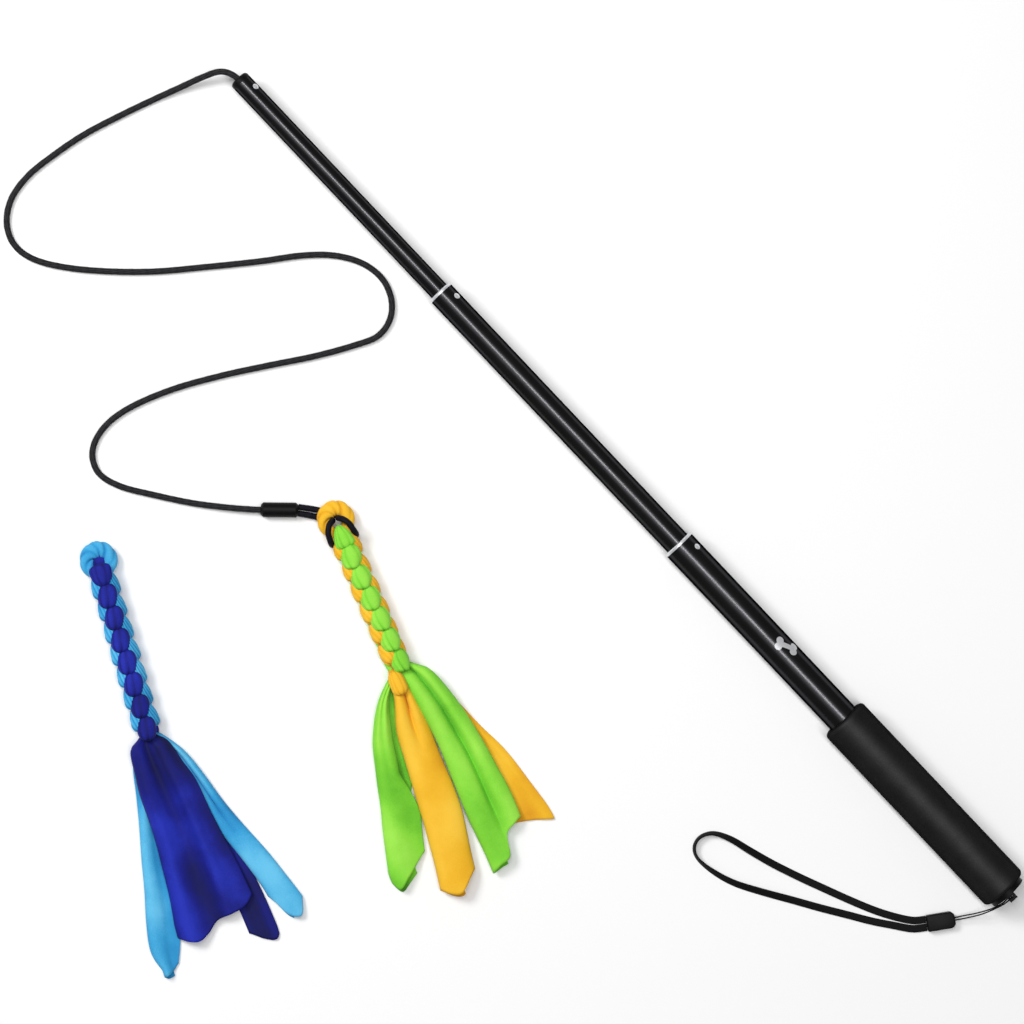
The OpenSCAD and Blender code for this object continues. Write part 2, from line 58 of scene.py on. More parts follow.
def newMaterial(name, roughness, metallic=0.0, sheen=0.0, specular=0.5, edge=1.0):
    material = bpy.data.materials.new(name)
    material.use_nodes = True
    shader = material.node_tree.nodes["Principled BSDF"]
    shader.inputs["Roughness"].default_value = roughness
    shader.inputs["Metallic"].default_value = metallic
    shader.inputs["Sheen Weight"].default_value = sheen
    shader.inputs["Sheen Roughness"].default_value = 0.45
    shader.inputs["Specular IOR Level"].default_value = specular
    shader.inputs["Specular Tint"].default_value = (edge, edge, edge, 1)  # how bright its edges shine
    return material, material.node_tree, shader


def addNode(tree, kind, inputs=None, **settings):
    node = tree.nodes.new(kind)
    for name, value in settings.items():
        setattr(node, name, value)
    for name, value in (inputs or {}).items():
        if hasattr(value, "is_output"):
            tree.links.new(value, node.inputs[name])
        else:
            node.inputs[name].default_value = value
    return node


def objectPoint(tree, scale=(1, 1, 1)):
    point = addNode(tree, "ShaderNodeTexCoord")
    return addNode(tree, "ShaderNodeMapping", {"Vector": point.outputs["Object"], "Scale": scale}).outputs[0]


def uvPoint(tree, scale=(1, 1, 1)):
    point = addNode(tree, "ShaderNodeUVMap", uv_map="weave")
    return addNode(tree, "ShaderNodeMapping", {"Vector": point.outputs["UV"], "Scale": scale}).outputs[0]


def noiseOn(tree, vector, scale, detail=2.0):
    inputs = {"Vector": vector, "Scale": scale, "Detail": detail}
    return addNode(tree, "ShaderNodeTexNoise", inputs).outputs[0]


def attributeOf(tree, name):
    return addNode(tree, "ShaderNodeAttribute", attribute_name=name).outputs["Fac"]


def colourInto(tree, shader, factor, *stops):
    node = addNode(tree, "ShaderNodeValToRGB", {"Fac": factor})
    stopsHere = node.color_ramp.elements
    while len(stopsHere) < len(stops):
        stopsHere.new(0.5)
    for element, (place, colour) in zip(stopsHere, stops):
        element.position = place
        element.color = colour
    tree.links.new(node.outputs["Color"], shader.inputs["Base Color"])


def bumpInto(tree, shader, height, distance, strength=1.0):
    bump = addNode(tree, "ShaderNodeBump", {"Height": height, "Distance": distance, "Strength": strength})
    tree.links.new(bump.outputs["Normal"], shader.inputs["Normal"])


def math2(tree, operation, first, second):
    return addNode(tree, "ShaderNodeMath", {0: first, 1: second}, operation=operation).outputs[0]


def mixed(tree, first, second, share):
    parts = [math2(tree, "MULTIPLY", *pair) for pair in ((first, share), (second, 1 - share))]
    return math2(tree, "ADD", *parts)


def anodisedBlack():
    material, tree, shader = newMaterial("anodisedBlack", 0.3, metallic=1.0, edge=0.0)
    brushed = noiseOn(tree, objectPoint(tree, (30, 2600, 2600)), 1.0, 3.0)  # fine lines along the pole
    handled = noiseOn(tree, objectPoint(tree), 38.0, 4.0)
    colourInto(tree, shader, brushed, (0.3, srgb(59, 59, 61)), (0.72, srgb(67, 67, 69)))
    gloss = addNode(tree, "ShaderNodeMapRange", {"Value": handled, "To Min": 0.22, "To Max": 0.3})
    tree.links.new(gloss.outputs[0], shader.inputs["Roughness"])
    bumpInto(tree, shader, brushed, 0.000005, 0.4)
    return material


def polishedSteel():
    material, tree, shader = newMaterial("polishedSteel", 0.36, metallic=0.5)
    lines = noiseOn(tree, objectPoint(tree, (2400, 300, 300)), 1.0, 2.0)  # turned lines
    colourInto(tree, shader, lines, (0.3, srgb(205, 207, 211)), (0.7, srgb(236, 237, 240)))
    bumpInto(tree, shader, lines, 0.00001, 0.4)
    return material


def silverInk():
    material, tree, shader = newMaterial("silverInk", 0.42, metallic=0.25)
    flakes = noiseOn(tree, objectPoint(tree), 5200.0, 2.0)
    colourInto(tree, shader, flakes, (0.35, srgb(176, 177, 180)), (0.7, srgb(214, 215, 218)))
    bumpInto(tree, shader, flakes, 0.00001, 0.4)
    return material


def mouldedNylon():
    material, tree, shader = newMaterial("mouldedNylon", 0.46, specular=0.1)
    grain = noiseOn(tree, objectPoint(tree), 1500.0, 3.0)
    colourInto(tree, shader, grain, (0.3, srgb(8, 8, 9)), (0.7, srgb(17, 17, 19)))
    bumpInto(tree, shader, grain, 0.00008, 0.5)
    return material


def gripFoam():
    material, tree, shader = newMaterial("gripFoam", 0.58, metallic=0.97, edge=0.0)
    foam = addNode(tree, "ShaderNodeTexVoronoi", {"Vector": objectPoint(tree), "Scale": 1300.0})
    cells = foam.outputs["Distance"]
    patches = noiseOn(tree, objectPoint(tree), 60.0, 4.0)
    tone = mixed(tree, cells, patches, 0.45)
    colourInto(tree, shader, tone, (0.25, srgb(44, 44, 45)), (0.75, srgb(58, 58, 59)))
    bumpInto(tree, shader, cells, 0.00009, 0.45)
    return material


def braidedSheath(name, dark, light, sheen=0.0, specular=0.08):
    material, tree, shader = newMaterial(name, 0.62, sheen=sheen, specular=specular)
    threads = noiseOn(tree, uvPoint(tree, (90, 4200, 1)), 1.0, 2.0)
    # painted shade: the sheath is darker where its surface lies low, in grooves and rib valleys, mixed with
    # thread grain
    tone = mixed(tree, attributeOf(tree, "relief"), threads, 0.7)
    colourInto(tree, shader, tone, (0.15, dark), (0.85, light))
    bumpInto(tree, shader, threads, 0.00008, 0.6)
    return material


def brushedFleece(name, shade, body, lit, sheen=0.07):
    material, tree, shader = newMaterial(name, 0.78, sheen=sheen, specular=0.3)
    pile = noiseOn(tree, objectPoint(tree), 2300.0, 4.0)
    clouds = noiseOn(tree, objectPoint(tree), 48.0, 3.0)
    tone = mixed(tree, pile, clouds, 0.58)
    for layer in ("drape", "shade"):  # painted shading of a piece's folds, and a random tone that differs from one knuckle to the next
        tone = math2(tree, "ADD", tone, attributeOf(tree, layer))
    # painted shade for the deepest creases; the ramp runs from painted shade through the fleece's own colour
    # to painted light
    creaseShade = tuple(0.5 * part for part in shade[:3]) + (1,)
    colourInto(tree, shader, tone, (0.02, creaseShade), (0.2, shade), (0.5, body), (0.8, lit))
    bumpInto(tree, shader, pile, 0.00025, 0.6)
    return material


finishes = {
    "tube": anodisedBlack(),
    "steel": polishedSteel(),
    "ink": silverInk(),
    "nylon": mouldedNylon(),
    "foam": gripFoam(),
    # each sheath runs from a dark colour, painted shade in its grooves, to a light one on its raised threads,
    # partly thread grain
    "cord": braidedSheath("cordSheath", srgb(6, 6, 7), srgb(48, 48, 51), 0.02, 0.12),
    "loop": braidedSheath("loopSheath", srgb(8, 7, 12), srgb(28, 26, 36)),
    "webbing": braidedSheath("webbingWeave", srgb(4, 4, 5), srgb(24, 24, 26)),
    # each fleece: painted shade, its own colour, painted light
    "green": brushedFleece("fleeceGreen", srgb(96, 184, 36), srgb(130, 214, 56), srgb(160, 230, 80)),
    "yellow": brushedFleece("fleeceYellow", srgb(220, 152, 20), srgb(236, 178, 30), srgb(246, 196, 58)),
    "navy": brushedFleece("fleeceNavy", srgb(3, 8, 84), srgb(8, 17, 124), srgb(28, 44, 176), 0.03),
    "sky": brushedFleece("fleeceSky", srgb(30, 126, 186), srgb(50, 157, 211), srgb(100, 192, 232)),
}
print("materials:", len(finishes))


# Meshes and paths

def newMesh(name, verts, faces):
    mesh = bpy.data.meshes.new(name)
    mesh.from_pydata([tuple(v) for v in verts], [], faces)
    return mesh


def meshOf(work, name):
    mesh = bpy.data.meshes.new(name)
    work.to_mesh(mesh)
    work.free()
    return mesh


def linked(name, data):
    thing = bpy.data.objects.new(name, data)
    bpy.context.scene.collection.objects.link(thing)
    return thing


def addPiece(name, verts, faces, material, body, nodes=(), uvs=None, relief=None):
    mesh = newMesh(name, verts, faces)
    if uvs is not None:
        layer = mesh.uv_layers.new(name="weave")
        corner = np.zeros(len(mesh.loops), int)
        mesh.loops.foreach_get("vertex_index", corner)
        layer.data.foreach_set("uv", np.asarray(uvs, np.float32)[corner].ravel())
    # these height values also serve as painted shade in the sheath's colour
    if relief is not None:
        values = mesh.attributes.new("relief", "FLOAT", "POINT")
        values.data.foreach_set("value", np.asarray(relief, np.float32))
    return settlePiece(mesh, name, material, body, nodes)


def settlePiece(mesh, name, material, body, nodes=()):
    mesh.name = name
    mesh.materials.clear()
    mesh.materials.append(material)
    mesh.shade_smooth()
    piece = linked(name, mesh)
    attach(piece, body)
    if nodes:
        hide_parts(*nodes)
    return piece


def outward(mesh):
    work = bmesh.new()
    work.from_mesh(mesh)
    bmesh.ops.recalc_face_normals(work, faces=work.faces)
    work.to_mesh(mesh)
    work.free()
    mesh.shade_smooth()
    return mesh


def tint(mesh, values):
    layer = mesh.attributes.new("drape", "FLOAT", "POINT")  # painted shading: lower is painted shade deeper in a fold, higher is painted light on a ridge
    layer.data.foreach_set("value", np.asarray(values, np.float32).ravel())
    return mesh


def shaped(name, mesh, kind, settings, inputs=None):
    blank = linked(name, mesh)
    modifier = blank.modifiers.new(name, kind)
    for key, value in settings.items():
        setattr(modifier, key, value)
    for key, value in (inputs or {}).items():
        modifier[key] = value
    blank.update_tag()
    final = bpy.data.meshes.new_from_object(blank.evaluated_get(bpy.context.evaluated_depsgraph_get()))
    bpy.data.objects.remove(blank)
    return final


def splinePath(points, steps):
    pts = np.asarray(points, float)
    padded = np.vstack([pts[:1], pts, pts[-1:]])
    path = []
    for i in range(len(pts) - 1):
        a, b, c, d = padded[i:i + 4]
        for t in np.arange(steps) / steps:
            path.append((2 * b + (c - a) * t + (2 * a - 5 * b + 4 * c - d) * t ** 2
                         + (3 * b - a - 3 * c + d) * t ** 3) / 2)
    return np.array(path + [pts[-1]])


def lengthsAlong(path):
    return np.r_[0, np.cumsum(np.linalg.norm(np.diff(path, axis=0), axis=1))]


def unit(vectors):
    return vectors / np.linalg.norm(vectors, axis=-1, keepdims=True)


def wholeTurn(count):
    return 2 * math.pi * np.arange(count) / count


def ramp(values, first, last):  # from 0 to 1 between two values
    return np.clip((values - first) / (last - first), 0, 1)


def evenPath(path, step):
    lengths = lengthsAlong(path)
    count = max(2, int(round(lengths[-1] / step)) + 1)
    along = np.linspace(0, lengths[-1], count)
    return np.column_stack([np.interp(along, lengths, path[:, k]) for k in range(3)]), along


def framesAlong(path, firstUp=(0.3, 0.2, 1)):
    tangents = unit(np.gradient(path, axis=0))
    ups = []
    up = np.array(firstUp, float)
    for t in tangents:
        up = unit(up - up.dot(t) * t)
        ups.append(up)
    ups = np.array(ups)
    return np.cross(tangents, ups), ups


def gridFaces(rows, columns, closed):
    faces = []
    for i in range(rows - 1):
        for j in range(columns if closed else columns - 1):
            k = (j + 1) % columns
            faces.append((i * columns + j, i * columns + k, (i + 1) * columns + k, (i + 1) * columns + j))
    return faces


def tubeFaces(rows, count):  # a closed skin, with a middle point at each end
    faces = gridFaces(rows, count, True)
    first, last = rows * count, (rows - 1) * count
    for j in range(count):
        k = (j + 1) % count
        faces += [(k, j, first), (last + j, last + k, first + 1)]
    return faces


cutEndShade = 0.4  # how light a cord's cut ends are, as a value of the painted shade that darkens its grooves


def cordPiece(name, path, settings, material, body, nodes):
    pts, along = evenPath(path, settings["ring"])
    sides, ups = framesAlong(pts)
    count = settings["sides"]
    angle, place = np.meshgrid(wholeTurn(count), along)
    twist = 2 * np.pi * place / settings["lay"]
    strands = settings["strands"]
    left = np.cos(strands * angle + twist)
    right = np.cos(strands * angle - twist)
    relief = np.maximum(left, right) * 0.5 + 0.5  # crossing strands, the higher one on top; the sheath's colour also reads this as painted shade, darker in the grooves
    # the strand on top is raised and painted lighter, the one beneath painted darker, as painted light and
    # shade
    relief = relief * (0.75 + 0.25 * np.sign(np.sin(strands * angle) * np.sin(twist)))
    radius = settings["d"] / 2 + settings["proud"] - settings["depth"] * (1 - relief)
    across = np.cos(angle)[..., None] * sides[:, None] + np.sin(angle)[..., None] * ups[:, None]
    verts = (pts[:, None] + radius[..., None] * across).reshape(-1, 3)
    verts = np.vstack([verts, pts[0], pts[-1]])
    uvs = np.column_stack([(angle / (2 * np.pi)).ravel(), place.ravel()])
    uvs = np.vstack([uvs, uvs[:1], uvs[-1:]])
    values = np.r_[relief.ravel(), cutEndShade, cutEndShade]
    piece = addPiece(name, verts, tubeFaces(len(pts), count), material, body, nodes, uvs, values)
    return piece, pts, along[-1]


# Stage: the camera stands straight over the layout, as in the photograph

stageSettings = {
    "aim": (0.396, 0.079),  # point of the layout at the middle of the picture
    "fieldWidth": 0.8192,  # width of the picture at the pole's height
    "lens": 135.0,
    "sensor": 36.0,
    "imageRight": (-0.687, -0.7267),  # the pole lies across the picture
    "floorSize": 14.0,
    "floorGrey": 0.93,
    "floorRoughness": 0.9,
    "worldStrength": 0.14,
    "lamps": [  # place, length along x, width, power
        ((2.1, 0.5, 2.1), 0.9, 0.9, 42.0),  # from the upper left of the picture
        ((0.36, 0.8, 3.4), 3.2, 1.5, 9.0),  # wide and dim, beside the strip
        ((0.36, -0.2, 3.5), 3.2, 0.4, 72.0),  # strip over the pole
    ],
}


def makeStage(settings):
    scene = bpy.context.scene
    scene.view_settings.view_transform = "Standard"
    camera = linked("camera", bpy.data.cameras.new("camera"))
    scene.camera = camera
    camera.data.lens = settings["lens"]
    camera.data.sensor_width = settings["sensor"]
    right = Vector((*settings["imageRight"], 0)).normalized()
    back = Vector((0, 0, 1))
    up = back.cross(right)
    camera.matrix_world = Matrix((right, up, back)).transposed().to_4x4()
    height = settings["fieldWidth"] * settings["lens"] / settings["sensor"]
    camera.location = (*settings["aim"], height)

    world = bpy.data.worlds.new("softbox")
    scene.world = world
    world.use_nodes = True
    glow = world.node_tree.nodes["Background"]
    glow.inputs["Color"].default_value = (1, 1, 1, 1)
    glow.inputs["Strength"].default_value = settings["worldStrength"]
    for i, (place, length, width, power) in enumerate(settings["lamps"]):
        lamp = bpy.data.lights.new(f"lamp{i}", "AREA")
        lamp.shape = "RECTANGLE"
        lamp.size = length
        lamp.size_y = width
        lamp.energy = power
        holder = linked(f"lamp{i}", lamp)
        holder.location = place
        if length == width:  # the square lamp is aimed, and the strips look straight down
            aim = Vector((*settings["aim"], 0)) - Vector(place)
            holder.rotation_euler = aim.to_track_quat("-Z", "Y").to_euler()

    half = settings["floorSize"] / 2
    corners = [(x * half, y * half, floorZ) for x, y in ((-1, -1), (1, -1), (1, 1), (-1, 1))]
    paper, _, shader = newMaterial("paleFloor", settings["floorRoughness"])
    grey = settings["floorGrey"]
    shader.inputs["Base Color"].default_value = (grey, grey, grey, 1)
    floor = linked("floor", newMesh("floor", corners, [(0, 1, 2, 3)]))
    floor.data.materials.append(paper)


makeStage(stageSettings)
print("stage: camera, lamps and floor")


# The cord, from the tip plug to the sleeve, in the places where it lies

cordSettings = {"d": 5 * mm, "ring": 1.1 * mm, "sides": 24, "strands": 8, "lay": 12 * mm, "depth": 0.2 * mm,
                "proud": 0.1 * mm}
cordRoute = [
    (772, 0, 0), (788, 0, 0), (803, 1, 0), (813, 7, -2), (820, 20, -8), (827, 38, -14), (835, 60, -17.3),
    (844, 88, -17.4), (853, 120, -17.4), (858, 150, -17.4), (860, 176, -17.4), (856, 198, -17.4),
    (845, 214, -17.4), (829, 222, -17.4), (811, 220, -17.4), (790, 208, -17.4), (764, 186, -17.4),
    (735, 156, -17.4), (708, 122, -17.4), (682, 88, -17.4), (662, 60, -17.4), (644, 41, -17.4),
    (624, 29, -17.4), (604, 26, -17.4), (587, 32, -17.4), (576, 44, -17.4), (573, 60, -17.4),
    (580, 78, -17.4), (596, 108, -17.4), (616, 140, -17.4), (636, 173, -17.4), (655, 209, -17.4),
    (668, 244, -17.4), (671, 270, -17.4), (664, 290, -17.4), (648, 299, -17.4), (628, 294, -17.4),
    (604, 279, -17.4), (578, 261, -17.2), (556, 243, -15), (541, 229.4, -14), (535.9, 224.3, -14),
]
cordPath = splinePath(np.array(cordRoute) * mm, 8)
cord, cordLine, cordLength = cordPiece("longCord", cordPath, cordSettings, finishes["cord"], "tip",
                                       ["cord"])
print(f"cord: {cordLength:.3f} m")


# A lure lies on the floor: x runs along its braid from the eye, y across it, z up

lures = {
    "lure": {"eye": (489, 186), "turn": 160, "front": "green", "side": "yellow"},
    "spare": {"eye": (596, 347), "turn": 153, "front": "navy", "side": "sky"},
}


def lureMatrix(lure):
    eye = lures[lure]["eye"]
    place = Matrix.Translation((eye[0] * mm, eye[1] * mm, floorZ))
    return place @ Matrix.Rotation(math.radians(lures[lure]["turn"]), 4, "Z")


def onLure(lure, points):
    turned = np.array(lureMatrix(lure))
    return np.asarray(points) @ turned[:3, :3].T + turned[:3, 3]


# The cord's end loop: two strands into the eye, and the bight round the neck

loopSettings = dict(cordSettings, ring=0.8 * mm, proud=0.0)
nearRoute = [(-16.9, -26.5, 6), (-10.5, -17, 4.4), (-5.5, -10, 3.2), (-2, -5.2, 3), (-0.2, -3, 4.6),
             (0, -2.7, 8), (0, -2.7, 11.9)]
farRoute = [(-21.1, -23.5, 6), (-13.6, -11.6, 4.2), (-7.2, -3.2, 3), (-3, 1.4, 3.2), (-0.4, 2.7, 5.2),
            (0, 2.7, 8), (0, 2.7, 11.9)]
bightRoute = [(0, -2.7, 12.1), (0, -2.7, 14), (0.6, -3.6, 17), (2.8, -6.4, 19.8), (8, -9.3, 20.6),
              (14.5, -10.4, 18), (17.6, -10.6, 12), (18.4, -9, 6), (18.8, -4.5, 3), (18.8, 0, 2.55)]
bightRoute += [(x, -y, z) for x, y, z in bightRoute[-2::-1]]
for loopName, route, body, node in [("loopStrandNear", nearRoute, "tip", "hitch_strands"),
                                    ("loopStrandFar", farRoute, "tip", "hitch_strands"),
                                    ("loopBight", bightRoute, "lure", "hitch_bight")]:
    loopPath = splinePath(onLure("lure", np.array(route) * mm), 6)
    strand, line, length = cordPiece(loopName, loopPath, loopSettings, finishes["loop"], body, [node])
print("end loop: two strands and a bight")


# The pole's rigid pieces keep their own shapes and take their finishes

nodeFinishes = {
    "tube": ["handle_tube", "middle_tube", "tip_tube"],
    "steel": ["handle_ring", "middle_ring"],
    "nylon": ["butt_cap", "handle_mouth_bush", "middle_tail_bush", "middle_mouth_bush", "tip_tail_bush",
              "tip_plug", "cord_sleeve"],
    "cord": ["cord_knot"],
}
for finish, names in nodeFinishes.items():
    for name in names:
        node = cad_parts[name]
        if not node.material_slots:
            node.data.materials.append(finishes[finish])
        node.material_slots[0].material = finishes[finish]


# Rivets: a polished dome on each tube, with its shank in the wall

rivetSettings = {"head": 5 * mm, "dome": 0.8 * mm, "skirt": 0.45 * mm, "shank": 2.6 * mm, "sides": 48,
                 "rings": 10, "sharp": 35}


def rivetPiece(body, settings):
    node = body + "_rivet"
    points = np.array([vert.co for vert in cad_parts[node].data.vertices])
    middle = (points.min(axis=0) + points.max(axis=0)) / 2
    out = unit(np.array([0, middle[1], middle[2]]))
    top, bottom = (points @ out).max(), (points @ out).min()
    rim, dome = settings["head"] / 2, settings["dome"]
    ball = (rim ** 2 + dome ** 2) / (2 * dome)
    curve = np.linspace(0, math.asin(rim / ball), settings["rings"])[1:]
    profile = [(ball * math.sin(a), top - ball * (1 - math.cos(a))) for a in curve]
    low = top - dome - settings["skirt"]
    profile += [(rim, low), (settings["shank"] / 2, low), (settings["shank"] / 2, bottom)]
    turn = wholeTurn(settings["sides"])
    side, across = np.array([1.0, 0, 0]), np.cross(out, [1, 0, 0])
    foot = np.array([middle[0], 0, 0])
    verts = [foot + r * (math.cos(t) * side + math.sin(t) * across) + h * out
             for r, h in profile for t in turn]
    verts += [foot + top * out, foot + bottom * out]
    faces = tubeFaces(len(profile), settings["sides"])
    piece = addPiece(body + "Rivet", verts, faces, finishes["steel"], body, [node])
    outward(piece.data).set_sharp_from_angle(angle=math.radians(settings["sharp"]))


for body in ("handle", "middle", "tip"):
    rivetPiece(body, rivetSettings)


# The ferrule, with the soft edges of a moulding

ferruleSettings = {"width": 1.3 * mm, "segments": 4, "limit_method": "ANGLE"}


def ferrulePiece(settings):
    work = bmesh.new()
    work.from_mesh(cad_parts["strap_ferrule"].data)
    bmesh.ops.remove_doubles(work, verts=work.verts, dist=0.001 * mm)
    bmesh.ops.dissolve_limit(work, angle_limit=math.radians(1), verts=work.verts, edges=work.edges)
    final = outward(shaped("softEdges", meshOf(work, "ferruleBlank"), "BEVEL", settings))
    return settlePiece(final, "strapFerrule", finishes["nylon"], "strap", ["strap_ferrule"])


ferrule = ferrulePiece(ferruleSettings)
print("rivets and ferrule")


# The foam grip: a turned sleeve with rounded ends and a slightly uneven skin

gripSettings = {"round": 3.5 * mm, "bore": 13.6 * mm, "ring": 1.3 * mm, "sides": 112, "cornerRings": 9,
                "uneven": 0.05 * mm, "grain": 160.0}


def gripPiece(settings):
    low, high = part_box("foam_grip")
    outer = high.z
    corner = settings["round"]
    quarter = np.linspace(0, np.pi / 2, settings["cornerRings"])
    first = [(low.x + corner * (1 - math.sin(a)), outer - corner * (1 - math.cos(a))) for a in quarter[::-1]]
    straight = np.arange(low.x + corner, high.x - corner, settings["ring"])[1:]
    end = [(high.x - corner * (1 - math.sin(a)), outer - corner * (1 - math.cos(a))) for a in quarter]
    outline = [(low.x, settings["bore"])] + first + [(x, outer) for x in straight] + end
    outline += [(high.x, settings["bore"])]
    count = settings["sides"]
    verts = []
    for x, radius in outline:
        for turn in wholeTurn(count):
            point = Vector((x, radius * math.cos(turn), radius * math.sin(turn)))
            dent = noise.noise(point * settings["grain"]) if radius > settings["bore"] else 0
            reach = 1 + (dent - 1) * settings["uneven"] / radius
            verts.append((x, point.y * reach, point.z * reach))
    rows = len(outline)
    faces = gridFaces(rows, count, True)
    last = (rows - 1) * count
    faces += [(last + j, last + (j + 1) % count, (j + 1) % count, j) for j in range(count)]
    return addPiece("foamGrip", verts, faces, finishes["foam"], "handle", ["foam_grip"])


grip = gripPiece(gripSettings)
print("grip: foam sleeve")


# A plain bone in silver ink, on the handle tube

boneSettings = {"x": 168 * mm, "turn": 30, "shaft": 13 * mm, "shaftHalf": 2.1 * mm, "knob": 3.1 * mm,
                "spread": 2.5 * mm, "lean": 28, "lift": 0.12 * mm, "cut": 0.6 * mm, "arcPoints": 22}


def boneOutline(settings):
    half = settings["shaft"] / 2
    outline = []
    for end in (1, -1):
        for side in (-1, 1):
            centre = Vector((end * half, end * side * settings["spread"]))
            meet = math.degrees(math.asin(settings["spread"] / settings["knob"]))
            shaft = math.degrees(math.asin((settings["spread"] - settings["shaftHalf"]) / settings["knob"]))
            first, last = (-180 - shaft, meet) if side < 0 else (-meet, 180 + shaft)
            for angle in np.linspace(first, last, settings["arcPoints"]):
                turn = math.radians(angle + (0 if end > 0 else 180))
                outline.append(centre + settings["knob"] * Vector((math.cos(turn), math.sin(turn))))
    return outline


def bonePiece(settings):
    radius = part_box("handle_tube")[1].z + settings["lift"]
    lean = Matrix.Rotation(math.radians(settings["lean"]), 2)
    mesh = bmesh.new()
    face = mesh.faces.new([mesh.verts.new((*(lean @ p), 0)) for p in boneOutline(settings)])
    face.normal_update()
    bmesh.ops.triangulate(mesh, faces=[face])
    reach = settings["shaft"]
    for place in np.arange(-reach, reach, settings["cut"]):  # cuts that let it bend round the tube
        geometry = mesh.verts[:] + mesh.edges[:] + mesh.faces[:]
        bmesh.ops.bisect_plane(mesh, geom=geometry, plane_co=(0, place, 0), plane_no=(0, 1, 0))
    for vert in mesh.verts:
        turn = math.radians(settings["turn"]) + vert.co.y / radius
        vert.co = (settings["x"] - vert.co.x, -radius * math.sin(turn), radius * math.cos(turn))
    bmesh.ops.dissolve_degenerate(mesh, dist=0.01 * mm, edges=mesh.edges)
    mesh.normal_update()
    for face in mesh.faces:
        middle = face.calc_center_median()
        if face.normal.dot((0, middle.y, middle.z)) < 0:
            face.normal_flip()
    flat = meshOf(mesh, "boneMark")
    piece = settlePiece(flat, "boneMark", finishes["ink"], "handle")
    around = [Vector((0, vert.co.y, vert.co.z)).normalized() for vert in flat.vertices]
    flat.normals_split_custom_set_from_vertices(around)  # it shades as the tube does
    return piece


bonePiece(boneSettings)
print("mark: bone on the handle tube")


# The wrist strap: a thin strand through the lug, and a loop of webbing

strandSettings = {"d": 1.2 * mm, "ring": 0.6 * mm, "sides": 12, "strands": 4, "lay": 4 * mm,
                  "depth": 0.08 * mm, "proud": 0.0}
strandRoute = [
    (-87, 45.5, -14), (-92, 37, -11.5), (-97, 27, -7), (-100, 17, -1), (-101.6, 9, 3.6), (-102, 3.6, 5.2),
    (-102, 1, 4.8), (-102, 0, 2.6), (-102, 0, 0), (-102, 0, -2.6), (-102, 1, -4.8), (-102, 3.6, -5.4),
    (-102, 9, -6.4), (-99.6, 18, -8.6), (-94.6, 29, -12.2), (-89, 38.5, -15), (-85.6, 44.5, -16),
]
webbingSettings = {"w": 6 * mm, "t": 1.6 * mm, "ring": 0.8 * mm, "columns": 12, "rib": 1.7 * mm,
                   "depth": 0.12 * mm}
webbingRoute = [
    (-71, 62.4), (-65, 70), (-54, 78), (-38, 87), (-18, 96), (4, 105), (24, 113), (46, 121), (66, 127),
    (84, 132), (97, 139), (102, 149), (99, 158), (90, 162), (74, 160), (56, 154), (36, 143), (14, 129.6),
    (-6, 117.6), (-26, 105), (-42, 95), (-56, 85), (-69, 75.4), (-76.3, 66),
]
webbingRolls = [0, 0, 0, 0, 5, 10, 15, 20, 30, 45, 65, 75, 75, 70, 50, 35, 25, 15, 10, 5, 0, 0, 0, 0]


def webbingPiece(settings):
    rolls = np.radians(webbingRolls)
    rise = (np.abs(np.sin(rolls)) * settings["w"] + np.abs(np.cos(rolls)) * settings["t"]) / 2
    route = np.column_stack([np.array(webbingRoute) * mm, floorZ + rise, rolls])
    fine = splinePath(route, 12)
    pts, along = evenPath(fine[:, :3], settings["ring"])
    roll = np.interp(along, lengthsAlong(fine[:, :3]), fine[:, 3])[:, None]
    run = unit(np.gradient(pts, axis=0))
    level = unit(np.cross([0, 0, 1], run))
    side = np.cos(roll) * level + np.sin(roll) * np.cross(run, level)
    up = np.cross(run, side)
    top = np.linspace(1, -1, settings["columns"])
    across = np.r_[top, top[::-1]]
    height = np.r_[np.ones(len(top)), -np.ones(len(top))] * (1 - 0.45 * np.abs(across) ** 6)  # thin edges
    rib = np.cos(2 * np.pi * (along[:, None] / settings["rib"] + np.abs(across) * 1.5))  # chevron ribs
    # these height values also paint shade into the rib valleys through the webbing's colour
    relief = 0.5 + 0.5 * rib * np.cos(across * 5 * np.pi) ** 2
    half = settings["t"] / 2 - settings["depth"] * (1 - relief)
    verts = pts[:, None] + across[None, :, None] * settings["w"] / 2 * side[:, None]
    verts = verts + (height * half)[..., None] * up[:, None]
    count = len(across)
    faces = gridFaces(len(pts), count, True)
    faces += [tuple(range(count))[::-1], tuple((len(pts) - 1) * count + j for j in range(count))]
    uvs = np.column_stack([np.tile(across, len(pts)), np.repeat(along, count)])
    piece = addPiece("strapWebbing", verts.reshape(-1, 3), faces, finishes["webbing"], "strap",
                     ["strap_webbing"], uvs, relief.ravel())
    return piece, pts, along[-1]


strandPath = splinePath(np.array(strandRoute) * mm, 6)
strapStrand, strandLine, strandLength = cordPiece("strapStrand", strandPath, strandSettings, finishes["loop"],
                                                  "strap", ["strap_strand"])
webbing, webbingLine, webbingLength = webbingPiece(webbingSettings)
print(f"strap: strand {strandLength:.3f} m, webbing {webbingLength:.3f} m")


# Fleece gathered into knuckles: each is a closed, pleated form, wider than it is deep

knuckleGrid = {"rows": 25, "sides": 96, "tip": 0.1}
# painted shading of a knuckle: a base level, painted shade in its pleat creases, at its ends where knuckles
# meet, and at its tips
knuckleShading = {"body": 0.08, "pleat": 0.44, "ends": 0.22, "tips": -0.2}


def creased(angle):  # 1 in the valley of a pleat, 0 on its ridge
    return (1 - np.abs(np.sin(angle))) ** 1.6


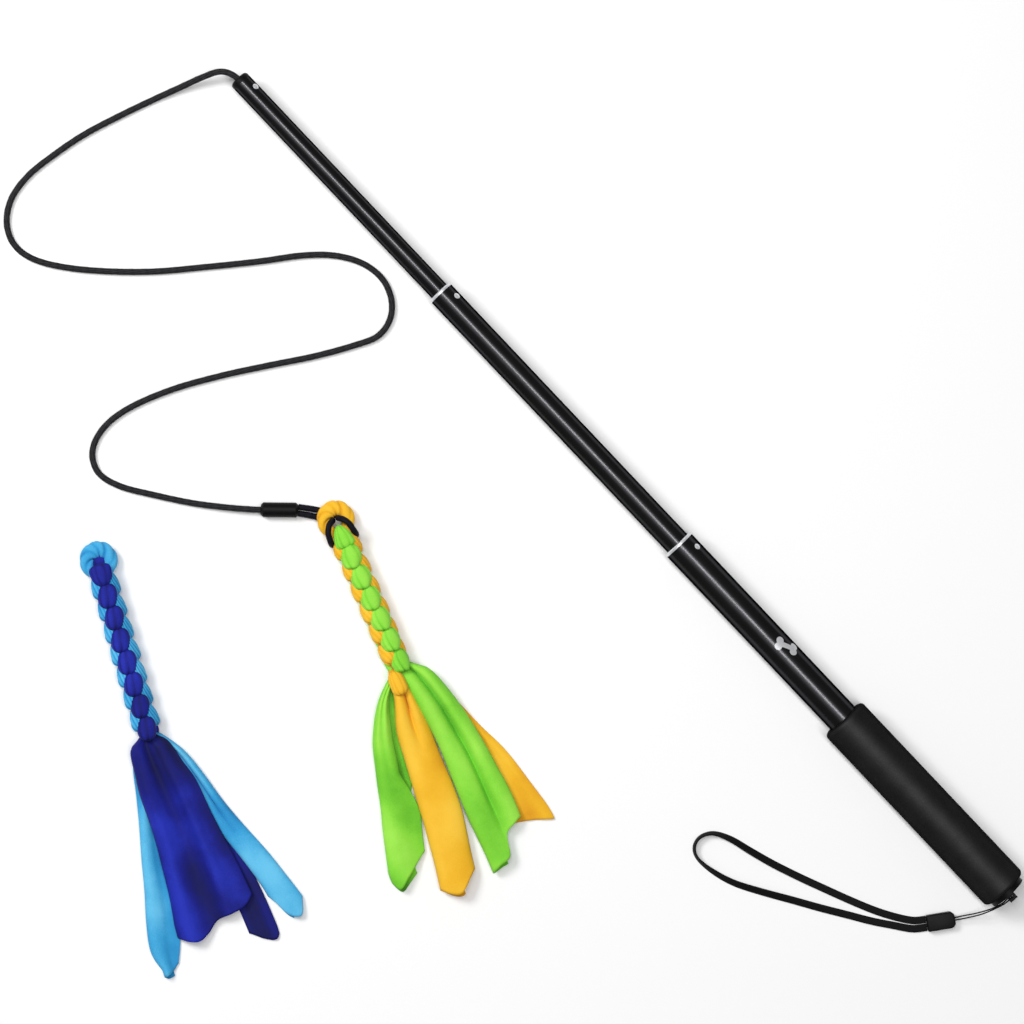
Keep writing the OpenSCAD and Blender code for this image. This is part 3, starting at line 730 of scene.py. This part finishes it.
def knuckleForm(name, settings):
    rows, count, tip = knuckleGrid["rows"], knuckleGrid["sides"], knuckleGrid["tip"]
    along = -np.cos(np.linspace(tip, math.pi - tip, rows))
    s, t = np.meshgrid(along, wholeTurn(count), indexing="ij")
    upper, lower = settings["blunt"]  # how blunt its two ends are
    body = np.sqrt(1 - np.abs(s) ** np.where(s < 0, upper, lower))
    up = np.sin(t)
    narrow = 1 - settings.get("shoulder", 0) * ramp(np.abs(s), 0.3, 1)
    half = settings["width"] / 2 * body * narrow * (1 + settings["taper"] * s)
    swell = 0.84 + 0.16 * s  # it stands highest towards its lower end
    depth = np.where(up > 0, settings["height"] * swell * body ** 0.6, settings["under"] * body)
    around = t + 0.2 * np.sin(2 * t + 0.7) + settings["slant"] * s
    crease = creased(settings["pleats"] * around)
    crease *= 0.75 + 0.25 * np.sin(3 * t + 2 * s + 0.9)  # some pleats are sharper than others
    # how far the pleats keep to the ends, and how far they reach down the sides
    atEnds, down = settings.get("pleatsAt", (0.5, 0.7))
    fold = settings["pleatDepth"] * crease * (1 - atEnds + atEnds * s ** 2) * np.clip(up + down, 0, 1)
    keep = 1 - fold / settings["height"]
    x = settings["length"] / 2 * s
    y = half * np.sign(np.cos(t)) * np.abs(np.cos(t)) ** 0.85 * keep
    z = depth * up * keep + settings["base"]
    lean = math.radians(settings["lean"])
    leaned = x * math.cos(lean) - y * math.sin(lean), x * math.sin(lean) + y * math.cos(lean)
    verts = np.stack([*leaned, z], axis=-1).reshape(-1, 3)
    tips = [verts[:count].mean(axis=0), verts[-count:].mean(axis=0)]
    mesh = newMesh(name, np.vstack([verts, tips]) * mm, tubeFaces(rows, count))
    # painted shade in the pleat creases, stronger towards the ends, and painted shade at the ends and tips
    pleat = settings.get("tone", knuckleShading["pleat"])
    drape = knuckleShading["body"] - pleat * crease * np.clip(up + 0.5, 0, 1) * (0.55 + 0.45 * s ** 2)
    drape -= knuckleShading["ends"] * ramp(np.abs(s), 0.7, 1)
    return outward(tint(mesh, np.r_[drape.ravel(), [knuckleShading["tips"]] * 2]))


def joined(name, parts):
    work = bmesh.new()
    for mesh, place in parts:
        copy = mesh.copy()
        copy.transform(place)
        work.from_mesh(copy)
        bpy.data.meshes.remove(copy)
    return meshOf(work, name)


columnSettings = {"rock": (0.05, 0.03, 0.05), "shade": 0.09}  # how far knuckles lean, and differ in tone


def knuckleColumns():
    tree = bpy.data.node_groups.new("knuckleColumns", "GeometryNodeTree")
    tree.is_modifier = True
    panel = tree.interface
    panel.new_socket("Geometry", in_out="OUTPUT", socket_type="NodeSocketGeometry")
    sockets = {}
    kinds = {"Knuckle": "Object", "Count": "Int", "Start": "Float", "Pitch": "Float", "Turn": "Float",
             "Twist": "Float", "Uneven": "Float", "Seed": "Int", "Material": "Material"}
    for name, kind in kinds.items():
        sockets[name] = panel.new_socket(name, in_out="INPUT", socket_type="NodeSocket" + kind).identifier
    given = tree.nodes.new("NodeGroupInput").outputs
    shape = addNode(tree, "GeometryNodeObjectInfo", {"Object": given["Knuckle"]})
    columns = tree.nodes.new("GeometryNodeJoinGeometry")
    for column in range(2):  # a column on each of two opposite sides
        start = addNode(tree, "ShaderNodeCombineXYZ", {"X": given["Start"]})
        step = addNode(tree, "ShaderNodeCombineXYZ", {"X": given["Pitch"]})
        line = addNode(tree, "GeometryNodeMeshLine", {
            "Count": given["Count"], "Start Location": start.outputs[0], "Offset": step.outputs[0]})
        wind = math2(tree, "MULTIPLY", tree.nodes.new("GeometryNodeInputIndex").outputs[0], given["Twist"])
        turn = math2(tree, "ADD", math2(tree, "ADD", given["Turn"], column * math.pi), wind)
        draw = addNode(tree, "FunctionNodeIntegerMath", {0: given["Seed"], 1: 7 * column}, operation="ADD")
        seed = draw.outputs[0]
        least, most = tuple(-angle for angle in columnSettings["rock"]), columnSettings["rock"]
        rock = addNode(tree, "FunctionNodeRandomValue", {"Min": least, "Max": most, "Seed": seed},
                       data_type="FLOAT_VECTOR")
        stand = addNode(tree, "ShaderNodeCombineXYZ", {"X": turn})
        angle = addNode(tree, "ShaderNodeVectorMath", {0: stand.outputs[0], 1: rock.outputs["Value"]},
                        operation="ADD")
        smallest = math2(tree, "SUBTRACT", 1.0, given["Uneven"])
        size = addNode(tree, "FunctionNodeRandomValue", {2: smallest, 3: 1.0, "Seed": seed})
        put = addNode(tree, "GeometryNodeInstanceOnPoints", {
            "Points": line.outputs[0], "Instance": shape.outputs["Geometry"], "Rotation": angle.outputs[0],
            "Scale": size.outputs[1]})
        shade = columnSettings["shade"]
        tone = addNode(tree, "FunctionNodeRandomValue", {2: -shade, 3: shade, "Seed": seed})
        mark = addNode(tree, "GeometryNodeStoreNamedAttribute", {
            "Geometry": put.outputs[0], "Name": "shade", "Value": tone.outputs[1]}, domain="INSTANCE")
        tree.links.new(mark.outputs[0], columns.inputs[0])
    real = addNode(tree, "GeometryNodeRealizeInstances", {"Geometry": columns.outputs[0]})
    dress = addNode(tree, "GeometryNodeSetMaterial", {
        "Geometry": real.outputs[0], "Material": given["Material"]})
    out = tree.nodes.new("NodeGroupOutput")
    tree.links.new(dress.outputs[0], out.inputs[0])
    return tree, sockets


columnTree, columnSockets = knuckleColumns()


def knuckleRun(name, form, values):
    shape = bpy.data.objects.new(name + "Form", form)
    inputs = {columnSockets[key]: value for key, value in dict(values, Knuckle=shape).items()}
    host = bpy.data.meshes.new(name + "Host")
    mesh = shaped(name + "Columns", host, "NODES", {"node_group": columnTree}, inputs)
    bpy.data.objects.remove(shape)
    return mesh


# Heads, necks and braids of the two lures

# what a form has where its own settings don't say
plain = {"under": 3, "taper": 0, "slant": 0, "base": 0, "lean": 0}
# a form's "tone" is how much painted shade its pleat creases take
knuckleSettings = {  # sizes in millimetres
    "front": {
        "lure": {"length": 20.6, "width": 17, "blunt": (10, 16), "shoulder": 0.36, "pleats": 3.5,
                 "slant": 0.3, "pleatDepth": 1.3, "pleatsAt": (0.4, 0)},
        "spare": {"length": 21.4, "width": 16, "blunt": (2.6, 2.8), "pleats": 4.5, "slant": 0.1,
                  "pleatDepth": 2, "pleatsAt": (0.85, 0), "tone": 0.6},
        "height": 7.4, "taper": 0.04, "base": 4.8, "lean": -14},
    "side": {
        "lure": {"length": 21, "width": 14, "height": 8.8, "pleats": 5.5, "pleatDepth": 1.6, "tone": 0.7},
        "spare": {"length": 23, "width": 13, "height": 8.6, "pleats": 6.5, "pleatDepth": 2.5, "tone": 1.1},
        "blunt": (2.2, 2.4), "slant": 0.35, "base": 4.4, "lean": 24},
    "bib": {
        "lure": {"length": 20, "width": 15, "blunt": (1.8, 4.5), "taper": 0.28},
        "spare": {"length": 19, "width": 17.5, "blunt": (4.5, 2.2), "taper": -0.12},
        "height": 5.2, "under": 4, "pleats": 5.5, "pleatDepth": 1.3},
    "tuck": {
        "spare": {"length": 15, "width": 16},
        "height": 3, "blunt": (2.5, 2.5), "pleats": 3.5, "pleatDepth": 0.6},
    "neck": {
        "length": 22, "width": 16, "height": 6.4, "under": 6.4, "blunt": (4, 4), "taper": 0.1, "pleats": 5,
        "slant": 0.2, "pleatDepth": 1.1},
    "core": {
        "lure": {"length": 112}, "spare": {"length": 126},
        "width": 15, "height": 7, "under": 7, "blunt": (12, 12), "pleats": 4, "slant": 6, "pleatDepth": 0.6},
    "cuff": {
        "length": 21, "width": 13.5, "height": 7, "under": 4, "blunt": (3, 4.5), "taper": 0.08, "pleats": 5.5,
        "pleatDepth": 1.5},
}
braidSettings = {  # where each column starts along the braid, and where the single forms lie
    "pitch": 18.4, "uneven": 0.05, "high": 11.5, "clear": 0.05,
    "lure": {"twist": -0.11, "front": 32.4, "side": 23.2, "count": 6, "bib": (15, 0, 17.3),
             "neck": (17, 0, 11.5), "core": (76, 0, 11.5), "cuff": (140, -6, 17)},
    "spare": {"twist": 0.0, "front": 29.6, "side": 20.4, "count": 7, "bib": (12.5, 0, 17.3),
              "tuck": (-1, 0, 7), "neck": (15, 0, 11.5), "core": (83, 0, 11.5)},
}
# the last two values are painted shading: a base level, and painted shade in the pleat creases
headSettings = {"radius": 11, "strip": 9, "high": 7, "flare": 2.1, "pleats": 7, "wind": 3, "depth": 1.5,
                "rows": 144, "sides": 48, "inward": {"lure": 0, "spare": 0.7},
                "bodyTone": 0.06, "pleatShade": 0.36}


def knuckle(lure, kind):
    shared = knuckleSettings[kind]
    return knuckleForm(lure + kind, {**plain, **shared, **shared.get(lure, {})})


def headForm(lure, settings):
    a, b = np.meshgrid(wholeTurn(settings["rows"]), wholeTurn(settings["sides"]), indexing="ij")
    far = (1 - np.cos(a)) / 2  # the side away from the braid is the widest
    half = settings["strip"] / 2
    # pleats that wind round the loop, unevenly spaced
    wander = settings["pleats"] * a + 1.3 * np.sin(2 * a + 0.6) + settings["wind"] * b
    crease = creased(wander / 2) * (0.7 + 0.3 * np.sin(3 * a + 1))
    grow = half - settings["depth"] * crease
    wide = grow + settings["flare"] * far
    wide = wide + settings["inward"][lure] * (np.cos(b) < 0)  # the spare lure's eye lies almost shut
    reach = settings["radius"] - settings["flare"] * far + wide * np.cos(b)
    high = settings["high"] + grow * np.sin(b) * (1 + 0.15 * far)
    verts = np.stack([reach * np.cos(a), reach * np.sin(a), high], axis=-1).reshape(-1, 3)
    faces = gridFaces(settings["rows"] + 1, settings["sides"], True)
    faces = [tuple(v % len(verts) for v in face) for face in faces]
    mesh = newMesh(lure + "Ring", verts * mm, faces)
    # painted shade in the creases of the head's pleats
    return outward(tint(mesh, settings["bodyTone"] - settings["pleatShade"] * crease))


def braidPieces(lure):
    settings = braidSettings[lure]
    front, side = lures[lure]["front"], lures[lure]["side"]
    high = Matrix.Translation((0, 0, braidSettings["high"] * mm))
    place = lureMatrix(lure)

    def at(key):
        return place @ Matrix.Translation(Vector(settings[key]) * mm)

    def run(kind, turn, seed):
        return knuckleRun(lure + kind, knuckle(lure, kind), {
            "Count": settings["count"], "Start": settings[kind] * mm, "Pitch": braidSettings["pitch"] * mm,
            "Turn": turn, "Twist": settings["twist"], "Uneven": braidSettings["uneven"], "Seed": seed,
            "Material": finishes[lures[lure][kind]]})

    fronts = [(run("front", 0.0, 3), place @ high)]
    fronts += [(knuckle(lure, kind), at(kind)) for kind in ("bib", "tuck") if kind in settings]
    frontMesh = joined(lure + "BraidFront", fronts)
    sides = [(run("side", math.pi / 2, 11), place @ high)]
    sides += [(knuckle(lure, kind), at(kind)) for kind in ("core", "cuff") if kind in settings]
    sideMesh = joined(lure + "BraidSides", sides)
    head = joined(lure + "Head", [(headForm(lure, headSettings), place)])
    neck = joined(lure + "Neck", [(knuckle(lure, "neck"), at("neck"))])
    for mesh, colour, node in [(frontMesh, front, "braid"), (sideMesh, side, "braid"), (head, side, "head"),
                               (neck, side, "neck")]:
        for vert in mesh.vertices:  # the fleece flattens where it lies on the floor
            vert.co.z = max(vert.co.z, floorZ + braidSettings["clear"] * mm)
        settlePiece(mesh, mesh.name, finishes[colour], lure, [f"{lure}_{node}"])


for lure in lures:
    braidPieces(lure)
print("lures: heads, necks and braids")


# The tails: cut strips of fleece, gathered at the braid and loosely rolled or folded below it

# sizes in millimetres, before they are placed
tailLength = 165.0
tailWidth = 40.0
fleece = {"t": 1.1, "lift": 0.75, "rows": 70, "columns": 60, "under": 20, "tuck": 5.0, "clear": 0.05,
          "half": 0.4, "pleats": 4, "pleatHeight": 0.77, "roamHeight": 0.84, "roamAcross": 1.6,
          "roamScale": (0.02, 0.035)}
# painted shading of the tails: painted shade at the gathered root, painted light on raised places, ridges and
# pleats
tailShading = {"root": 0.24, "roam": 0.4, "ridge": 0.3, "pleat": 0.1}
tailStart = {"lure": 133.65, "spare": 149.65}
layers = {  # share along, underside and height of the gathered roots, in millimetres
    "low": [(-.03, 3.5, 4), (0, 3.5, 6.5), (.1, 2.6, 6), (.25, 1, 1), (.4, 0, 0)],
    "high": [(-.03, 7, 4), (0, 8.5, 6), (.05, 9.2, 6.8), (.1, 8.6, 6), (.25, 4.6, 1), (.4, 2.7, 0)],
    "over": [(-.03, 7, 4), (0, 8.5, 6), (.05, 10, 7), (.1, 9.8, 6.4), (.25, 8, 2), (.4, 6.2, 0),
        (.55, 4.4, 0), (.75, 2.7, 0)],
}
sections = {  # across in half widths, height in rolls, from one edge of the strip to the other
    "tube": [(.1, .06), (-.5, 0), (-.86, .1), (-1, .42), (-.9, .76), (-.6, .97), (-.1, 1), (.4, .93),
        (.8, .72), (1, .4), (.86, .1), (.4, .02)],
    "pinched": [(.1, .06), (-.5, 0), (-.86, .1), (-1, .45), (-.86, .85), (-.45, 1), (-.05, .85), (.12, .3),
        (.3, .72), (.62, .95), (.9, .7), (1, .4), (.86, .08), (.4, .02)],
    "openRight": [(.95, .05), (.2, 0), (-.5, 0), (-.86, .1), (-1, .45), (-.88, .82), (-.6, 1), (-.2, .98),
        (.1, .82), (.25, .6)],
    "closedRight": [(.3, .04), (-.2, 0), (-.6, 0), (-.88, .1), (-1, .4), (-.88, .74), (-.5, .9), (0, .74),
        (.5, .45), (1, .18)],
    "twinRoll": [(-.2, .02), (-.7, 0), (-.93, .12), (-1, .42), (-.9, .8), (-.64, 1), (-.32, .95), (-.06, .7),
        (.06, .2), (.12, .12), (.24, .4), (.44, .76), (.68, .8), (.9, .54), (1, .26), (.85, .02), (.5, 0)],
    "broadRoll": [(-.2, .02), (-.7, 0), (-.93, .1), (-1, .35), (-.9, .6), (-.64, .78), (-.32, .8),
        (-.06, .74), (.12, .62), (.24, .6), (.44, .66), (.68, .62), (.9, .44), (1, .24), (.85, .02), (.5, 0)],
    "lowRoll": [(.2, .03), (-.5, 0), (-.88, .1), (-1, .42), (-.88, .8), (-.55, .95), (-.15, .7), (.2, .3),
        (.6, .15), (1, .1)],
    "flat": [(-1, .1), (-.8, .35), (-.45, .2), (-.1, .3), (.25, .12), (.6, .4), (.85, .3), (1, .1)],
    "waved": [(-1, .15), (-.92, .5), (-.7, .85), (-.42, .5), (-.14, .18), (.1, .36), (.34, .8), (.58, .55),
        (.8, .36), (1, .15)],
}
tails = {  # rows: share along, middle in lengths, half width in widths; hem: across and along at the cut end
    "lure_tail_left": {
        "colour": "green", "layer": "low", "sections": [(.45, "openRight"), (.66, "closedRight")],
        "roll": 9.5, "peek": 5, "flat": (64, 160),
        "rows": [(-.03, -.01, .06), (0, -.035, .12), (.1, -.125, .19), (.25, -.185, .31), (.4, -.215, .37),
                 (.55, -.25, .41), (.7, -.3, .42), (.88, -.35, .39)],
        "hem": [(-74, 150), (-69, 160), (-60, 154), (-50, 146), (-38, 136)]},
    "lure_tail_centre": {
        "colour": "yellow", "layer": "high", "sections": [(.14, "pinched"), (.4, "tube")],
        "roll": 10, "peek": 3, "flat": (64, 178),
        "rows": [(-.03, -.03, .1), (0, -.03, .14), (.1, -.035, .19), (.25, -.06, .31), (.4, -.07, .36),
                 (.55, -.08, .385), (.7, -.095, .39), (.85, -.12, .39), (1.05, -.15, .39)],
        "hem": [(-40, 173), (-32, 180), (-25, 182), (-17, 176), (-9, 168)]},
    "lure_tail_right": {
        "colour": "green", "layer": "high", "sections": [(.72, "twinRoll"), (.95, "broadRoll")],
        "roll": 10, "peek": 3, "flat": (72, 170),
        "rows": [(-.03, .03, .1), (0, .04, .2), (.03, .055, .28), (.1, .075, .33), (.25, .105, .37),
                 (.4, .12, .4), (.55, .13, .445), (.7, .135, .475), (.85, .135, .47), (.98, .13, .44)],
        "hem": [(4, 177), (12, 174), (22, 170), (26, 153), (33, 148), (41, 143)]},
    "lure_tail_back": {
        "colour": "yellow", "layer": "low", "sections": [(.5, "flat")], "roll": 3.4, "flat": (40, 160),
        "rows": [(-.03, .01, .05), (0, .035, .08), (.1, .09, .16), (.25, .16, .16), (.4, .2, .21),
                 (.55, .23, .32), (.7, .26, .38), (.85, .285, .42), (.92, .295, .42)],
        "hem": [(30, 147), (46, 150), (64, 157)]},
    "spare_tail_left": {
        "colour": "sky", "layer": "low", "sections": [(.5, "lowRoll")],
        "roll": 6, "peek": 4, "flat": (44, 185),
        "rows": [(-.03, -.015, .05), (0, -.04, .08), (.1, -.09, .12), (.25, -.097, .2), (.4, -.126, .22),
                 (.55, -.149, .26), (.7, -.17, .3), (.85, -.192, .34), (1, -.22, .3), (1.1, -.225, .16)],
        "hem": [(-47, 182), (-42, 187), (-34, 183), (-29, 177)]},
    "spare_tail_front": {
        "colour": "navy", "layer": "over", "sections": [(.5, "waved")], "roll": 8.5, "flat": (72, 160),
        "rows": [(-.03, -.01, .12), (-.01, -.014, .2), (.005, -.016, .3), (.03, -.014, .39),
                 (.07, -.009, .44), (.14, 0, .49), (.25, .015, .58), (.4, .028, .62), (.55, .042, .68),
                 (.7, .05, .75), (.9, .055, .84)],
        "hem": [(-27, 158), (-18, 164), (-9, 167), (0, 163), (11, 155), (23, 153), (34, 150), (43, 142)]},
    "spare_tail_right": {
        "colour": "sky", "layer": "low", "sections": [(.3, "pinched"), (.6, "tube")],
        "roll": 5.5, "peek": 2, "flat": (46, 170),
        "rows": [(-.03, .015, .05), (0, .04, .09), (.1, .1, .14), (.25, .155, .18), (.4, .208, .21),
                 (.55, .264, .24), (.7, .325, .255), (.85, .385, .275), (.94, .413, .3)],
        "hem": [(54, 143), (62, 160), (68, 168), (76, 170), (80, 156)]},
    "spare_tail_back": {
        "colour": "navy", "layer": "low", "sections": [(.5, "flat")], "roll": 3, "flat": (34, 178),
        "rows": [(0, 0, .09), (.1, .02, .2), (.25, .06, .26), (.4, .105, .3), (.55, .15, .32),
                 (.7, .195, .32), (.85, .235, .3), (1.05, .262, .28)],
        "hem": [(33, 173), (44, 181), (52, 183), (56, 175)]},
}


def smoothSteps(values, places, at):
    fine = splinePath(np.column_stack([places, values]), 8)
    return np.interp(at, fine[:, 0], fine[:, 1])


def evenSection(line, roll, count):
    pace = np.hypot(np.diff(line[:, 0]) * tailWidth * fleece["half"], np.diff(line[:, 1]) * roll)
    pace = np.r_[0, np.cumsum(pace)]
    step = np.linspace(0, pace[-1], count)
    return np.column_stack([np.interp(step, pace, line[:, k]) for k in range(2)])


def sectionOf(name, roll):
    line = splinePath(np.array(sections[name], float), 8)
    turn = int(np.argmin(line[:, 0]))  # the left edge keeps its place in the strip
    if turn == 0:
        return evenSection(line, roll, fleece["columns"])
    upper = evenSection(line[turn:], roll, fleece["columns"] - fleece["under"] + 1)[1:]
    return np.vstack([evenSection(line[:turn + 1], roll, fleece["under"]), upper])


def tailPiece(name, settings):
    lure, _, side = name.split("_")
    columns = fleece["columns"]
    places = np.array([place for place, _ in settings["sections"]])
    shapes = np.array([sectionOf(kind, settings["roll"]) for _, kind in settings["sections"]])
    rows = np.array(settings["rows"])
    layer = np.array(layers[settings["layer"]])
    hem = np.array(settings["hem"], float)
    endAcross = rows[-1, 1] * tailLength + rows[-1, 2] * tailWidth * shapes[-1, :, 0]
    turnedUnder = np.clip(1 - np.arange(columns) / fleece["under"], 0, 1)
    endAlong = smoothSteps(hem[:, 1], hem[:, 0], endAcross) + settings.get("peek", 0) * np.sqrt(turnedUnder)
    s = np.linspace(0, 1, fleece["rows"]) ** 0.9  # rows lie closer towards the cut end
    along = s[:, None] * (endAlong[None, :] + fleece["tuck"]) - fleece["tuck"]
    share = along / tailLength
    mix = np.interp(share, places, np.arange(len(places)))  # from the first section to the last
    across = shapes[0, :, 0] * (1 - mix) + shapes[-1, :, 0] * mix
    height = shapes[0, :, 1] * (1 - mix) + shapes[-1, :, 1] * mix
    centre = smoothSteps(rows[:, 1], rows[:, 0], share) * tailLength
    y = centre + smoothSteps(rows[:, 2], rows[:, 0], share) * tailWidth * across
    under, gather = (np.interp(share, layer[:, 0], layer[:, k]) for k in (1, 2))
    rise = np.clip(0.55 + share / 0.5, 0, 1)  # the roll grows from the braid on
    z = under + fleece["lift"] + np.maximum(settings["roll"] * rise, gather) * height
    seed = sum(ord(letter) for letter in name)
    fold = np.sin(2 * math.pi * np.linspace(0, fleece["pleats"], columns)[None, :] + seed % 7)
    z += fleece["pleatHeight"] * fold * ramp(share, 0.45, 0) * ramp(share, 0, 0.06)
    long, wide = fleece["roamScale"]
    roam = np.array([[noise.noise(Vector((u * long, v * wide, seed))) for u, v in zip(a, b)]
                     for a, b in zip(along, y)])
    z += fleece["roamHeight"] * roam * ramp(share, 0, 0.2) * height
    y = y + fleece["roamAcross"] * roam * ramp(share, 0, 0.3)
    z = np.maximum(z, fleece["t"] / 2 + fleece["clear"])
    verts = onLure(lure, np.stack([along + tailStart[lure], y, z], axis=-1).reshape(-1, 3) * mm)
    mesh = newMesh(name + "Cut", verts, gridFaces(fleece["rows"], columns, False))
    # painted shading: darker at the gathered root, lighter where the fleece is raised, on ridges and on pleat
    # tops, darker in the valleys
    drape = tailShading["root"] * np.interp(share, [0, 0.3, 1], [-1, 0, 0.2]) + tailShading["roam"] * roam
    drape += tailShading["ridge"] * (height - 0.6) + tailShading["pleat"] * fold * ramp(share, 0.6, 0)
    tint(mesh, drape)
    final = outward(shaped(name + "Work", mesh, "SOLIDIFY", {"thickness": fleece["t"] * mm, "offset": 0}))
    colour = settings["colour"]
    pieceName = f"{lure}Tail{side.capitalize()}"
    piece = settlePiece(final, pieceName, finishes[colour], lure, [name])


for tailName, tailSettings in tails.items():
    tailPiece(tailName, tailSettings)
print("tails:", len(tails))
